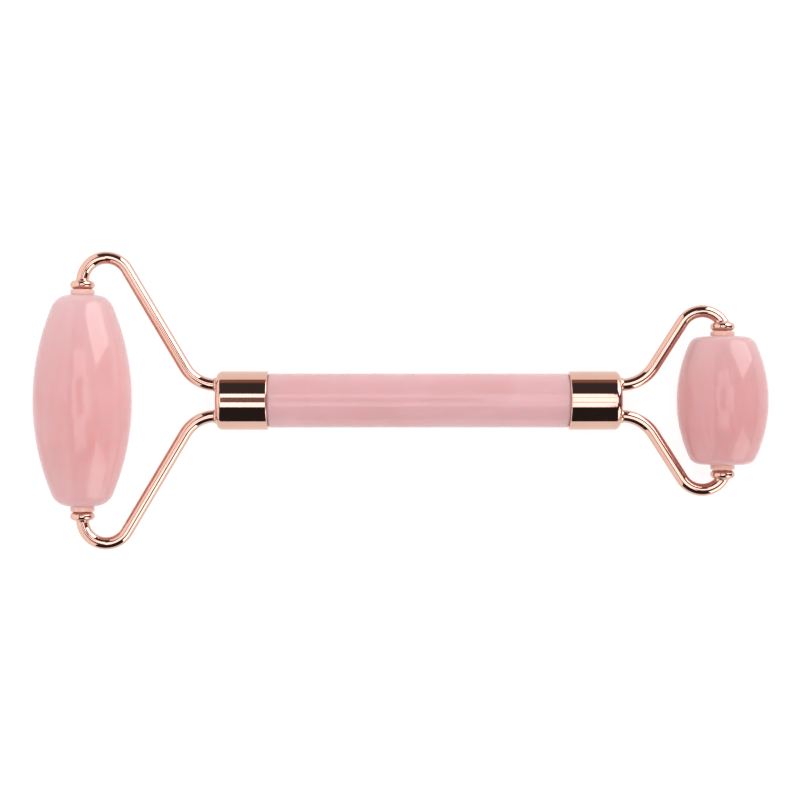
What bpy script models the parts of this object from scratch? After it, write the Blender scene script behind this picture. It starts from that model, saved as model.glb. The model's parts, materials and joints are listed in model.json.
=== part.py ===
"""Face roller: a stone handle with a crowned stone roller in a bent-wire yoke at each end.

Units are metres. +X runs along the handle towards the small roller, the rollers turn about Y and +Z is up.
Both rollers lie on the surface Z = 0, and the origin is on that surface under the middle of the length.
"""

import math
from collections import namedtuple

import bmesh
import bpy
from mathutils import Matrix, Vector

# Handle: a stone rod, turned down to a spigot inside each ferrule
GRIP_LENGTH = 0.0592
HANDLE_DIAMETER = 0.0107
SHOULDER_STEP = 0.0003
SHOULDER_ROUND = 0.0006
SPIGOT_CHAMFER = 0.0004

# Ferrules: cups glued over the spigots, with a braze collar round each arm
FERRULE_LENGTH = 0.0101
FERRULE_WALL = 0.0007
FERRULE_END_WALL = 0.0010
FERRULE_EDGE_ROUND = 0.0011
FERRULE_RIM_ROUND = 0.00028
ARM_INSET = 0.0015
COLLAR_HEIGHT = 0.0007
COLLAR_FOOT = 0.0006
COLLAR_LIP = 0.00015

# Adhesive plug behind the spigot, which grips the arms' tails
ARM_TAIL = 0.0018
PLUG_BACKING = 0.0011

# Yoke arms: one bent wire each
WIRE_DIAMETER = 0.00245
NECK_LEAD = 0.0003

# Axle pins: a shank in the bush and a round-rimmed head on the arm's end
PIN_DIAMETER = 0.0020
PIN_LENGTH = 0.0055
PIN_CHAMFER = 0.0003
PIN_HEAD_DIAMETER = 0.0048
PIN_HEAD_THICKNESS = 0.00165

# Flanged bushes pressed into the stones
BUSH_WALL = 0.00075
BUSH_SLEEVE_LENGTH = 0.0060
BUSH_CHAMFER = 0.0002
FLANGE_LIP = 0.00055
FLANGE_THICKNESS = 0.0010
FLANGE_ROUND = 0.0002

# Large roller and its yoke
LARGE_ROLLER_DIAMETER = 0.0193
LARGE_ROLLER_LENGTH = 0.0416
LARGE_END_LAND = 0.0002
LARGE_EDGE_ROUND = 0.0037
LARGE_YOKE_GAP = 0.0169
LARGE_NECK_RADIUS = 0.0070
LARGE_HOOK_RADIUS = 0.0047
LARGE_HOOK_TURN = 88.0

# Small roller and its yoke
SMALL_ROLLER_DIAMETER = 0.0179
SMALL_ROLLER_LENGTH = 0.0252
SMALL_END_LAND = 0.0020
SMALL_EDGE_ROUND = 0.0024
SMALL_YOKE_GAP = 0.0114
SMALL_NECK_RADIUS = 0.0076
SMALL_HOOK_RADIUS = 0.0047
SMALL_HOOK_TURN = 58.0

# Clearances
GLUE_GAP = 0.00005
BRAZE_GAP = 0.00005
SEAT_GAP = 0.00005
RUNNING_CLEARANCE = 0.00005
AXIAL_PLAY = 0.0001

# Fineness of the round surfaces
STONE_SEGMENTS = 40
ROD_SEGMENTS = 40
AXLE_SEGMENTS = 20
WIRE_SEGMENTS = 12
CROWN_STEPS = 10
ROUND_STEPS = 3
RIM_STEPS = 2
NECK_STEPS = 8
HOOK_STEPS = 12
HOOK_OVERRUN = 20.0
MERGE_DISTANCE = 1e-7
SHARP_ANGLE = math.radians(35.0)
LARGEST_ROUND = 0.8

# Sizes that follow from the ones above
HANDLE_RADIUS = HANDLE_DIAMETER / 2
SPIGOT_RADIUS = HANDLE_RADIUS - SHOULDER_STEP
FERRULE_BORE_RADIUS = SPIGOT_RADIUS + GLUE_GAP
FERRULE_RADIUS = FERRULE_BORE_RADIUS + FERRULE_WALL
PLUG_THICKNESS = ARM_TAIL + PLUG_BACKING
SPIGOT_LENGTH = FERRULE_LENGTH - FERRULE_END_WALL - PLUG_THICKNESS - 2 * GLUE_GAP
WIRE_RADIUS = WIRE_DIAMETER / 2
ARM_OFFSET = FERRULE_RADIUS - ARM_INSET - WIRE_RADIUS
PIN_RADIUS = PIN_DIAMETER / 2
BUSH_BORE_RADIUS = PIN_RADIUS + RUNNING_CLEARANCE
SLEEVE_RADIUS = BUSH_BORE_RADIUS + BUSH_WALL
STONE_BORE_RADIUS = SLEEVE_RADIUS + SEAT_GAP
FLANGE_RADIUS = SLEEVE_RADIUS + FLANGE_LIP

# Directions that a piece turned about its own Z is stood in
ALONG_X = (0.0, math.pi / 2, 0.0)
ALONG_Y = (-math.pi / 2, 0.0, 0.0)
HALF_TURN_X = (math.pi, 0.0, 0.0)
HALF_TURN_Y = (0.0, math.pi, 0.0)

End = namedtuple("End", "name side diameter length land edge_round yoke_gap neck_radius hook_radius hook_turn")
LARGE_END = End("large", -1, LARGE_ROLLER_DIAMETER, LARGE_ROLLER_LENGTH, LARGE_END_LAND, LARGE_EDGE_ROUND,
                LARGE_YOKE_GAP, LARGE_NECK_RADIUS, LARGE_HOOK_RADIUS, math.radians(LARGE_HOOK_TURN))
SMALL_END = End("small", 1, SMALL_ROLLER_DIAMETER, SMALL_ROLLER_LENGTH, SMALL_END_LAND, SMALL_EDGE_ROUND,
                SMALL_YOKE_GAP, SMALL_NECK_RADIUS, SMALL_HOOK_RADIUS, math.radians(SMALL_HOOK_TURN))


def axis_reach(end):
    """Distance from a ferrule's outer face to the axis of its roller."""
    return end.yoke_gap + end.diameter / 2


def bush_seat(end):
    """Distance from the roller's middle to the seat of a bush's flange on the stone's end."""
    return end.length / 2 + SEAT_GAP


def head_seat(end):
    """Distance from the roller's middle to the inner face of a pin's head."""
    return bush_seat(end) + FLANGE_THICKNESS + AXIAL_PLAY


def clear_scene():
    """Removes every object, so that the model starts from nothing."""
    for old in list(bpy.data.objects):
        bpy.data.objects.remove(old, do_unlink=True)


def finish(name, colour, roughness, metallic):
    """A plain Principled material."""
    material = bpy.data.materials.new(name)
    material.use_nodes = True
    shader = material.node_tree.nodes["Principled BSDF"]
    shader.inputs["Base Color"].default_value = (*colour, 1.0)
    shader.inputs["Roughness"].default_value = roughness
    shader.inputs["Metallic"].default_value = metallic
    material.diffuse_color = (*colour, 1.0)
    return material


def mesh_from(bm, name):
    """Closes a bmesh's work: one outward shell, shaded smooth between its sharp edges."""
    bmesh.ops.remove_doubles(bm, verts=bm.verts, dist=MERGE_DISTANCE)
    bmesh.ops.recalc_face_normals(bm, faces=bm.faces)
    mesh = bpy.data.meshes.new(name)
    bm.to_mesh(mesh)
    bm.free()
    mesh.shade_smooth()
    mesh.set_sharp_from_angle(angle=SHARP_ANGLE)
    return mesh


def arc(centre, radius, start, finish_angle, steps):
    """Points (radius, height) on an arc, with its angles in radians from the radius axis."""
    turn = (finish_angle - start) / steps
    angles = [start + turn * step for step in range(steps + 1)]
    return [(centre[0] + radius * math.cos(angle), centre[1] + radius * math.sin(angle)) for angle in angles]


def turned(name, profile, segments):
    """Mesh of a profile of (radius, height) points turned about Z, closed at the axis or as a ring."""
    bm = bmesh.new()
    points = [bm.verts.new((radius, 0.0, height)) for radius, height in profile]
    pairs = list(zip(points, points[1:]))
    if profile[0][0] > 0.0:
        pairs.append((points[-1], points[0]))
    lines = [bm.edges.new(pair) for pair in pairs]
    bmesh.ops.spin(bm, geom=points + lines, cent=(0, 0, 0), axis=(0, 0, 1), angle=math.tau,
                   steps=segments, use_merge=True)
    return mesh_from(bm, name)


def handle_mesh():
    """Stone rod: the bare grip, a rounded shoulder at each ferrule and a chamfered spigot."""
    swing = math.acos(1.0 - SHOULDER_STEP / SHOULDER_ROUND)
    shoulder_start = GRIP_LENGTH / 2 - SHOULDER_ROUND * math.sin(swing)
    spigot_end = GRIP_LENGTH / 2 + SPIGOT_LENGTH
    upper = arc((HANDLE_RADIUS - SHOULDER_ROUND, shoulder_start), SHOULDER_ROUND, 0.0, swing, ROUND_STEPS)
    upper += [(SPIGOT_RADIUS, spigot_end - SPIGOT_CHAMFER), (SPIGOT_RADIUS - SPIGOT_CHAMFER, spigot_end),
              (0.0, spigot_end)]
    lower = [(radius, -height) for radius, height in reversed(upper)]
    return turned("handle_rod", lower + upper, ROD_SEGMENTS)


def ferrule_mesh():
    """Cup with its outer end face at Z = 0 and its open rim below, before the arms' holes are cut."""
    rim = min(FERRULE_RIM_ROUND, FERRULE_WALL * LARGEST_ROUND / 2)
    rim_height = rim - FERRULE_LENGTH
    profile = [(0.0, 0.0)]
    profile += arc((FERRULE_RADIUS - FERRULE_EDGE_ROUND, -FERRULE_EDGE_ROUND), FERRULE_EDGE_ROUND,
                   math.pi / 2, 0.0, ROUND_STEPS)
    profile += arc((FERRULE_RADIUS - rim, rim_height), rim, 0.0, -math.pi / 2, RIM_STEPS)
    profile += arc((FERRULE_BORE_RADIUS + rim, rim_height), rim, -math.pi / 2, -math.pi, RIM_STEPS)
    profile += [(FERRULE_BORE_RADIUS, -FERRULE_END_WALL), (0.0, -FERRULE_END_WALL)]
    return turned("ferrule", profile, ROD_SEGMENTS)


def plug_mesh():
    """Disc of adhesive that fills the ferrule between its end wall and the spigot."""
    top = -FERRULE_END_WALL - GLUE_GAP
    radius = FERRULE_BORE_RADIUS - GLUE_GAP
    profile = [(0.0, top), (radius, top), (radius, top - PLUG_THICKNESS), (0.0, top - PLUG_THICKNESS)]
    return turned("adhesive", profile, ROD_SEGMENTS)


def pair_mesh(name, profile):
    """Two like turned bodies, one at each arm, for cutting into or adding to a ferrule or a plug."""
    single = turned(name, profile, WIRE_SEGMENTS)
    bm = bmesh.new()
    for side in (1, -1):
        start = len(bm.verts)
        bm.from_mesh(single)
        bm.verts.ensure_lookup_table()
        bmesh.ops.translate(bm, verts=bm.verts[start:], vec=(0.0, side * ARM_OFFSET, 0.0))
    bpy.data.meshes.remove(single)
    return mesh_from(bm, name)


def collars_mesh():
    """Flared braze collars that stand on the ferrule's end face round the arms."""
    sunk = -FERRULE_END_WALL / 2
    foot = WIRE_RADIUS + COLLAR_FOOT
    lip = WIRE_RADIUS + COLLAR_LIP
    waist = (foot + lip) / 2 - (foot - lip) / 4
    profile = [(0.0, COLLAR_HEIGHT), (lip, COLLAR_HEIGHT), (waist, COLLAR_HEIGHT / 2), (foot, 0.0),
               (foot, sunk), (0.0, sunk)]
    return pair_mesh("braze_collars", profile)


def arm_holes_mesh(name, gap):
    """Cutters for the arms' tails, from past the collars to the tails' inner ends."""
    top = COLLAR_HEIGHT + FERRULE_END_WALL
    bottom = -FERRULE_END_WALL - ARM_TAIL - gap
    radius = WIRE_RADIUS + gap
    return pair_mesh(name, [(0.0, top), (radius, top), (radius, bottom), (0.0, bottom)])


def arm_mesh(end):
    """One wire arm: tail, neck bend, straight run and hook, cut flat where it meets the pin's head."""
    neck = Vector((NECK_LEAD, ARM_OFFSET + end.neck_radius, 0.0))
    cut_height = head_seat(end) + PIN_HEAD_THICKNESS + BRAZE_GAP
    hook = Vector((axis_reach(end) - end.hook_radius * math.sin(end.hook_turn),
                   cut_height - end.hook_radius * math.cos(end.hook_turn), 0.0))
    between = hook - neck
    both_radii = end.neck_radius + end.hook_radius
    run = math.sqrt(between.length_squared - both_radii ** 2)
    rise = math.atan2(between.y, between.x) + math.atan2(both_radii, run)
    tail_start = -FERRULE_END_WALL - ARM_TAIL

    bm = bmesh.new()
    stand = Matrix.Translation((tail_start, ARM_OFFSET, 0.0)) @ Matrix.Rotation(math.pi / 2, 4, "Y")
    ring = bmesh.ops.create_circle(bm, radius=WIRE_RADIUS, segments=WIRE_SEGMENTS, matrix=stand)["verts"]
    ring = list(ring) + [edge for edge in bm.edges]
    up = (0.0, 0.0, 1.0)

    def feed(ring, vector):
        return bmesh.ops.spin(bm, geom=ring, dvec=vector, axis=up, angle=0.0, steps=1)["geom_last"]

    def bend(ring, centre, angle, steps):
        return bmesh.ops.spin(bm, geom=ring, cent=centre, axis=up, angle=angle, steps=steps)["geom_last"]

    ring = feed(ring, (NECK_LEAD - tail_start, 0.0, 0.0))
    ring = bend(ring, neck, rise, NECK_STEPS)
    ring = feed(ring, (run * math.cos(rise), run * math.sin(rise), 0.0))
    bend(ring, hook, -(rise + end.hook_turn + math.radians(HOOK_OVERRUN)), HOOK_STEPS)

    past_apex = [face for face in bm.faces if face.calc_center_median().x > hook.x]
    past = set(past_apex)
    past.update(edge for face in past_apex for edge in face.edges)
    past.update(vert for face in past_apex for vert in face.verts)
    bmesh.ops.bisect_plane(bm, geom=list(past), plane_co=(0.0, cut_height, 0.0), plane_no=(0.0, -1.0, 0.0),
                           clear_outer=True)
    bmesh.ops.holes_fill(bm, edges=[edge for edge in bm.edges if edge.is_boundary], sides=0)
    return mesh_from(bm, f"{end.name}_arm")


def pin_mesh():
    """Stub axle with its head's inner face at Z = 0, the head above and the shank below."""
    rim = PIN_HEAD_THICKNESS / 2
    profile = [(0.0, -PIN_LENGTH), (PIN_RADIUS - PIN_CHAMFER, -PIN_LENGTH),
               (PIN_RADIUS, PIN_CHAMFER - PIN_LENGTH), (PIN_RADIUS, 0.0)]
    profile += arc((PIN_HEAD_DIAMETER / 2 - rim, rim), rim, -math.pi / 2, math.pi / 2, 2 * ROUND_STEPS)
    profile += [(0.0, PIN_HEAD_THICKNESS)]
    return turned("axle_pin", profile, AXLE_SEGMENTS)


def bush_mesh():
    """Flanged bush with its flange's seat at Z = 0, the flange above and the sleeve below."""
    profile = [(BUSH_BORE_RADIUS, FLANGE_THICKNESS), (BUSH_BORE_RADIUS, -BUSH_SLEEVE_LENGTH),
               (SLEEVE_RADIUS - BUSH_CHAMFER, -BUSH_SLEEVE_LENGTH),
               (SLEEVE_RADIUS, BUSH_CHAMFER - BUSH_SLEEVE_LENGTH), (SLEEVE_RADIUS, 0.0), (FLANGE_RADIUS, 0.0)]
    profile += arc((FLANGE_RADIUS - FLANGE_ROUND, FLANGE_THICKNESS - FLANGE_ROUND), FLANGE_ROUND,
                   0.0, math.pi / 2, RIM_STEPS)
    return turned("bush", profile, AXLE_SEGMENTS)


def stone_mesh(end):
    """Crowned roller: one long arc over the belly, a tangent round at each end, a flat land and the bore."""
    radius = end.diameter / 2
    land = FLANGE_RADIUS + end.land
    edge_round = min(end.edge_round, LARGEST_ROUND * (radius - land))
    drop = radius - land
    half = end.length / 2 - edge_round
    crown = (drop ** 2 + half ** 2 - edge_round ** 2) / (2 * (drop - edge_round))
    tangent = math.atan2(half, land - radius + crown)
    belly = arc((radius - crown, 0.0), crown, -tangent, tangent, CROWN_STEPS)
    upper = arc((land, half), edge_round, tangent, math.pi / 2, ROUND_STEPS)
    upper.append((STONE_BORE_RADIUS, end.length / 2))
    lower = [(point, -height) for point, height in reversed(upper)]
    return turned(f"{end.name}_roller_stone", lower[:-1] + belly + upper[1:], STONE_SEGMENTS)


def add_empty(name, parent=None, location=(0.0, 0.0, 0.0), rotation=(0.0, 0.0, 0.0)):
    """A frame that pieces hang from."""
    empty = bpy.data.objects.new(name, None)
    empty.location = location
    empty.rotation_euler = rotation
    empty.parent = parent
    bpy.context.scene.collection.objects.link(empty)
    return empty


def add_piece(name, mesh, material, parent, location=(0.0, 0.0, 0.0), rotation=(0.0, 0.0, 0.0)):
    """One piece of the object, hung from its frame."""
    piece = bpy.data.objects.new(name, mesh)
    piece.location = location
    piece.rotation_euler = rotation
    piece.parent = parent
    if material:
        mesh.materials.clear()
        mesh.materials.append(material)
    bpy.context.scene.collection.objects.link(piece)
    return piece


def add_helper(name, mesh, parent):
    """A hidden body for a Boolean, stood along the handle as the piece it works on."""
    helper = add_piece(name, mesh, None, parent, rotation=ALONG_X)
    helper.hide_render = True
    helper.display_type = "WIRE"
    return helper


def combine(piece, helper, operation):
    """A Boolean of a piece with a helper."""
    step = piece.modifiers.new(helper.name, "BOOLEAN")
    step.operation = operation
    step.solver = "EXACT"
    step.object = helper


def add_socket(end, frame, metal, adhesive):
    """The ferrule of one end with its braze collars, and the adhesive plug in it."""
    ferrule = add_piece(f"{end.name}_ferrule", ferrule_mesh(), metal, frame, rotation=ALONG_X)
    plug = add_piece(f"{end.name}_adhesive", plug_mesh(), adhesive, frame, rotation=ALONG_X)
    collars = add_helper(f"{end.name}_braze_collars", collars_mesh(), frame)
    arm_holes = add_helper(f"{end.name}_arm_holes", arm_holes_mesh("arm_holes", BRAZE_GAP), frame)
    tail_holes = add_helper(f"{end.name}_tail_holes", arm_holes_mesh("tail_holes", GLUE_GAP), frame)
    combine(ferrule, collars, "UNION")
    combine(ferrule, arm_holes, "DIFFERENCE")
    combine(plug, tail_holes, "DIFFERENCE")


def add_yoke(end, frame, metal, pin):
    """The two arms of one end and the stub axles on them. The lower half is the upper one turned over."""
    arm = arm_mesh(end)
    for half, turn in (("upper", (0.0, 0.0, 0.0)), ("lower", HALF_TURN_X)):
        side = add_empty(f"{end.name}_{half}_side", frame, rotation=turn)
        add_piece(f"{end.name}_{half}_arm", arm, metal, side)
        add_piece(f"{end.name}_{half}_axle_pin", pin, metal, side,
                  (axis_reach(end), head_seat(end), 0.0), ALONG_Y)


def add_roller(end, frame, stone, nylon, bush):
    """The stone of one end and its two bushes, on a frame at the middle of the roller's axis."""
    axis = add_empty(f"{end.name}_roller_axis", frame, (axis_reach(end), 0.0, 0.0))
    add_piece(f"{end.name}_roller_stone", stone_mesh(end), stone, axis, rotation=ALONG_Y)
    for half, turn in (("upper", (0.0, 0.0, 0.0)), ("lower", HALF_TURN_X)):
        side = add_empty(f"{end.name}_{half}_bush_side", axis, rotation=turn)
        add_piece(f"{end.name}_{half}_bush", bush, nylon, side, (0.0, bush_seat(end), 0.0), ALONG_Y)


def add_assembly():
    """The frame of the whole tool, laid so that both rollers touch the surface under it."""
    ferrule_face = GRIP_LENGTH / 2 + FERRULE_LENGTH
    large_axis = ferrule_face + axis_reach(LARGE_END)
    small_axis = ferrule_face + axis_reach(SMALL_END)
    large_radius = LARGE_END.diameter / 2
    small_radius = SMALL_END.diameter / 2
    lean = math.asin((large_radius - small_radius) / (large_axis + small_axis))
    near = -large_axis * math.cos(lean) - large_radius
    far = small_axis * math.cos(lean) + small_radius
    height = large_radius - large_axis * math.sin(lean)
    return add_empty("assembly", None, (-(near + far) / 2, 0.0, height), (0.0, lean, 0.0))


def build():
    """The whole tool: the handle, then a socket, a yoke and a roller at each end."""
    stone = finish("pink_stone", (0.79, 0.41, 0.42), 0.12, 0.0)
    metal = finish("rose_gold", (0.83, 0.50, 0.40), 0.10, 1.0)
    nylon = finish("clear_nylon", (0.90, 0.78, 0.76), 0.25, 0.0)
    adhesive = finish("cured_adhesive", (0.80, 0.74, 0.62), 0.40, 0.0)
    assembly = add_assembly()
    add_piece("handle_rod", handle_mesh(), stone, assembly, rotation=ALONG_X)
    pin = pin_mesh()
    bush = bush_mesh()
    for end, turn in ((LARGE_END, HALF_TURN_Y), (SMALL_END, (0.0, 0.0, 0.0))):
        place = (end.side * (GRIP_LENGTH / 2 + FERRULE_LENGTH), 0.0, 0.0)
        frame = add_empty(f"{end.name}_end", assembly, place, turn)
        add_socket(end, frame, metal, adhesive)
        add_yoke(end, frame, metal, pin)
        add_roller(end, frame, stone, nylon, bush)


clear_scene()
build()
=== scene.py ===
# %% [markdown]
# # A face roller with two stone rollers
# The real tool is a polished stone rod with a metal cup glued on each end. Two bent wires leave each cup
# and hold a crowned stone roller between them, and each roller turns on two short pins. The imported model
# already has every size and both hinges, so this lesson keeps its places and makes each visible piece
# again, finely enough for mirror-bright metal and glossy stone.

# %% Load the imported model
import json
import math
from collections import namedtuple

import bmesh
import bpy
from mathutils import Matrix, Vector


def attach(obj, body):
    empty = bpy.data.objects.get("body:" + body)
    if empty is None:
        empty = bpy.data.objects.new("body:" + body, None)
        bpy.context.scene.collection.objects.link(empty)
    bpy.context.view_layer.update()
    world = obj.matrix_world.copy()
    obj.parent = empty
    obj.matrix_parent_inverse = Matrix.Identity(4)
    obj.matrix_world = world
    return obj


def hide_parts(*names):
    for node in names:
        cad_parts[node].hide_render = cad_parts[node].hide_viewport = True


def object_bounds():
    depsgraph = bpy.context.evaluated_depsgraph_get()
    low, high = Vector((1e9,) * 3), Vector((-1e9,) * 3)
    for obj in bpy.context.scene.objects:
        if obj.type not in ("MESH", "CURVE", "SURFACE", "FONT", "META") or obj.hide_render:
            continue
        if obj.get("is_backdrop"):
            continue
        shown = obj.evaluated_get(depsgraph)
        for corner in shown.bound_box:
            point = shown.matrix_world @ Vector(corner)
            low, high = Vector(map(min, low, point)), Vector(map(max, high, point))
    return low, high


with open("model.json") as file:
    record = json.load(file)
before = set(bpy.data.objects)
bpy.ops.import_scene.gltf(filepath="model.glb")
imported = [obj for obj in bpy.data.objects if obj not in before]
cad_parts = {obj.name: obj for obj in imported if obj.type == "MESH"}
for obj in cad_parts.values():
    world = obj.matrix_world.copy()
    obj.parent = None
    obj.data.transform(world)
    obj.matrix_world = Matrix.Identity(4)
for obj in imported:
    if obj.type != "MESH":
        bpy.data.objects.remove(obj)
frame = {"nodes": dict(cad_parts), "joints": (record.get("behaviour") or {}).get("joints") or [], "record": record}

cad_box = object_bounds()
hinges = {joint["name"]: Vector(joint["pos_m"]) for joint in frame["joints"]}
print("size in mm:", [round(1000 * side, 2) for side in cad_box[1] - cad_box[0]])

# %% [markdown]
# ## Camera
# The tool was photographed from straight above while it lay on a white table. Every outline in such a
# picture is near the height of the rollers' axes, so the camera's scale is set there: 800 pixels of
# picture, and a little over 5 pixels for each millimetre of the tool.

# %% Place the camera
CAMERA_DISTANCE = 0.320
CAMERA_OFFSET = (-0.0002, 0.0001)
AXIS_HEIGHT = 0.0095
PICTURE_SCALE = 5070.0
PICTURE_WIDTH = 800
SENSOR_WIDTH = 36.0

bpy.ops.object.select_all(action="DESELECT")
bpy.ops.object.camera_add(location=(*CAMERA_OFFSET, AXIS_HEIGHT + CAMERA_DISTANCE))
camera = bpy.context.object
camera.data.sensor_width = SENSOR_WIDTH
camera.data.lens = PICTURE_SCALE * CAMERA_DISTANCE * SENSOR_WIDTH / PICTURE_WIDTH
bpy.context.scene.camera = camera
print("lens in mm:", round(camera.data.lens, 2))

# %% [markdown]
# ## Table
# The table is a plain white sheet, wide enough that its edge is far off even from a low angle. A little
# glow of its own keeps it evenly white, as a lit table does, so the tool has only a faint shadow under it.

# %% Lay the table
TABLE_SIZE = 16.0
TABLE_COLOUR = (0.32, 0.32, 0.32)
TABLE_GLOW_COLOUR = (1.0, 1.0, 1.0)
TABLE_GLOW = 0.79
TABLE_ROUGHNESS = 0.9
TABLE_GLOSS = 0.0
TABLE_MOTTLE_SCALE = 6.0
TABLE_MOTTLE = 0.98


def add_node(tree, kind, **settings):
    """A shader node with some of its settings."""
    node = tree.nodes.new(kind)
    for key, value in settings.items():
        setattr(node, key, value)
    return node


def new_finish(name):
    """A material with its node tree and its Principled shader."""
    material = bpy.data.materials.new(name)
    material.use_nodes = True
    return material, material.node_tree, material.node_tree.nodes["Principled BSDF"]


def ramp_between(tree, stops):
    """A colour ramp with a stop (position, colour) for each entry."""
    ramp = add_node(tree, "ShaderNodeValToRGB")
    elements = ramp.color_ramp.elements
    while len(elements) < len(stops):
        elements.new(1.0)
    for element, (position, colour) in zip(elements, stops):
        element.position = position
        element.color = (*colour, 1.0)
    return ramp


def grey(level):
    """A neutral colour."""
    return (level, level, level)


bpy.ops.object.select_all(action="DESELECT")
bpy.ops.mesh.primitive_plane_add(size=TABLE_SIZE)
table = bpy.context.object
table.name = "table"
table_finish, tree, shader = new_finish("white_table")
place = add_node(tree, "ShaderNodeTexCoord")
mottle = add_node(tree, "ShaderNodeTexNoise")
mottle.inputs["Scale"].default_value = TABLE_MOTTLE_SCALE
tint = ramp_between(tree, [(0.0, [TABLE_MOTTLE * level for level in TABLE_COLOUR]), (1.0, TABLE_COLOUR)])
tree.links.new(place.outputs["Object"], mottle.inputs["Vector"])
tree.links.new(mottle.outputs["Fac"], tint.inputs["Fac"])
tree.links.new(tint.outputs["Color"], shader.inputs["Base Color"])
shader.inputs["Roughness"].default_value = TABLE_ROUGHNESS
shader.inputs["Specular IOR Level"].default_value = TABLE_GLOSS
shader.inputs["Emission Color"].default_value = (*TABLE_GLOW_COLOUR, 1.0)
shader.inputs["Emission Strength"].default_value = TABLE_GLOW
table.data.materials.append(table_finish)
table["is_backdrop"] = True
print("table:", TABLE_SIZE, "m wide")

# %% [markdown]
# ## Studio light
# Polished metal shows the whole studio. The bands on the real cups tell of a wide soft light overhead
# with a dim gap in its middle and cut corners. Here it is two strips, with fillers between their ends.
# The pale patches on the stones come from two upright softboxes at the right, one behind the tool and a
# weaker one in front of it, and a tall panel stands close by at the left. Those three show only in gloss,
# and two fills light the stone without showing in gloss. An area light's brightness is its power over pi
# times its area, so each one is set by the brightness wanted.

# %% Hang the overhead lights
QUARTER_TURN = math.pi / 2
OVERHEAD_HEIGHT = 0.55
OVERHEAD_BRIGHTNESS = 2.15
OVERHEAD_COLOUR = (1.0, 0.97, 1.06)
STRIP_ENDS = (-0.155, 0.125)
LEFT_FILLER_ENDS = (-0.19, -0.095)
RIGHT_FILLER_ENDS = (0.05, 0.125)
RIGHT_END_ENDS = (0.125, 0.23)
BACK_STRIP_ANGLES = (11.8, 25.5)
FRONT_STRIP_ANGLES = (-25.3, -7.6)
LEFT_FILLER_ANGLES = (-7.6, 11.8)
RIGHT_FILLER_ANGLES = (-5.5, 10.6)
RIGHT_END_ANGLES = (-9.3, 12.0)


def add_softlight(name, size, location, brightness):
    """A rectangular soft light that faces straight down."""
    bpy.ops.object.select_all(action="DESELECT")
    bpy.ops.object.light_add(type="AREA", location=location)
    light = bpy.context.object
    light.name = name
    light.data.shape = "RECTANGLE"
    light.data.size = size[0]
    light.data.size_y = size[1]
    light.data.energy = brightness * math.pi * size[0] * size[1]
    return light


def add_overhead(name, ends, angles):
    """A light overhead, between two ends along the tool and two angles from straight up across it."""
    near, far = [OVERHEAD_HEIGHT * math.tan(math.radians(angle)) for angle in angles]
    spot = (sum(ends) / 2, (near + far) / 2, OVERHEAD_HEIGHT)
    light = add_softlight(name, (ends[1] - ends[0], far - near), spot, OVERHEAD_BRIGHTNESS)
    light.data.color = OVERHEAD_COLOUR
    print(name, "width in m:", round(far - near, 3))


add_overhead("back_strip", STRIP_ENDS, BACK_STRIP_ANGLES)
add_overhead("front_strip", STRIP_ENDS, FRONT_STRIP_ANGLES)
add_overhead("left_filler", LEFT_FILLER_ENDS, LEFT_FILLER_ANGLES)
add_overhead("right_filler", RIGHT_FILLER_ENDS, RIGHT_FILLER_ANGLES)
add_overhead("right_end", RIGHT_END_ENDS, RIGHT_END_ANGLES)

# %% Stand the softboxes
SOFTBOX_DISTANCE = 2.0
BACK_SOFTBOX_HEADINGS = (23.0, 69.0)
BACK_SOFTBOX_ELEVATIONS = (1.0, 47.0)
BACK_SOFTBOX_BRIGHTNESS = 4.3
FRONT_SOFTBOX_HEADINGS = (-63.0, -26.0)
FRONT_SOFTBOX_ELEVATIONS = (4.0, 43.5)
FRONT_SOFTBOX_BRIGHTNESS = 2.6
FILL_HEADINGS = (50.0, 110.0)
FILL_ELEVATIONS = (8.0, 45.0)
FILL_BRIGHTNESS = 0.55
PANEL_PLACE = -0.32
PANEL_SPAN = (-0.50, 0.55)
PANEL_HEIGHT = 0.62
PANEL_BRIGHTNESS = 1.2
CEILING_SIZE = (1.4, 1.4)
CEILING_SPOT = (0.0, 0.2, 1.2)
CEILING_BRIGHTNESS = 0.95


def add_softbox(name, headings, elevations, brightness):
    """An upright light that faces the tool and fills some headings and elevations in the view from it."""
    middle = math.radians(sum(headings) / 2)
    half = math.radians(headings[1] - headings[0]) / 2
    low, high = [SOFTBOX_DISTANCE * math.tan(math.radians(elevation)) for elevation in elevations]
    spot = (SOFTBOX_DISTANCE * math.cos(middle), SOFTBOX_DISTANCE * math.sin(middle), (low + high) / 2)
    light = add_softlight(name, (2 * SOFTBOX_DISTANCE * math.tan(half), high - low), spot, brightness)
    light.rotation_euler = (QUARTER_TURN, 0.0, middle + QUARTER_TURN)
    print(name, "height in m:", round(high - low, 3))
    return light


def add_panel(name):
    """A tall upright light close to the left of the tool."""
    size = (PANEL_SPAN[1] - PANEL_SPAN[0], PANEL_HEIGHT)
    spot = (PANEL_PLACE, sum(PANEL_SPAN) / 2, PANEL_HEIGHT / 2)
    light = add_softlight(name, size, spot, PANEL_BRIGHTNESS)
    light.rotation_euler = (QUARTER_TURN, 0.0, -QUARTER_TURN)
    return light


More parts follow.
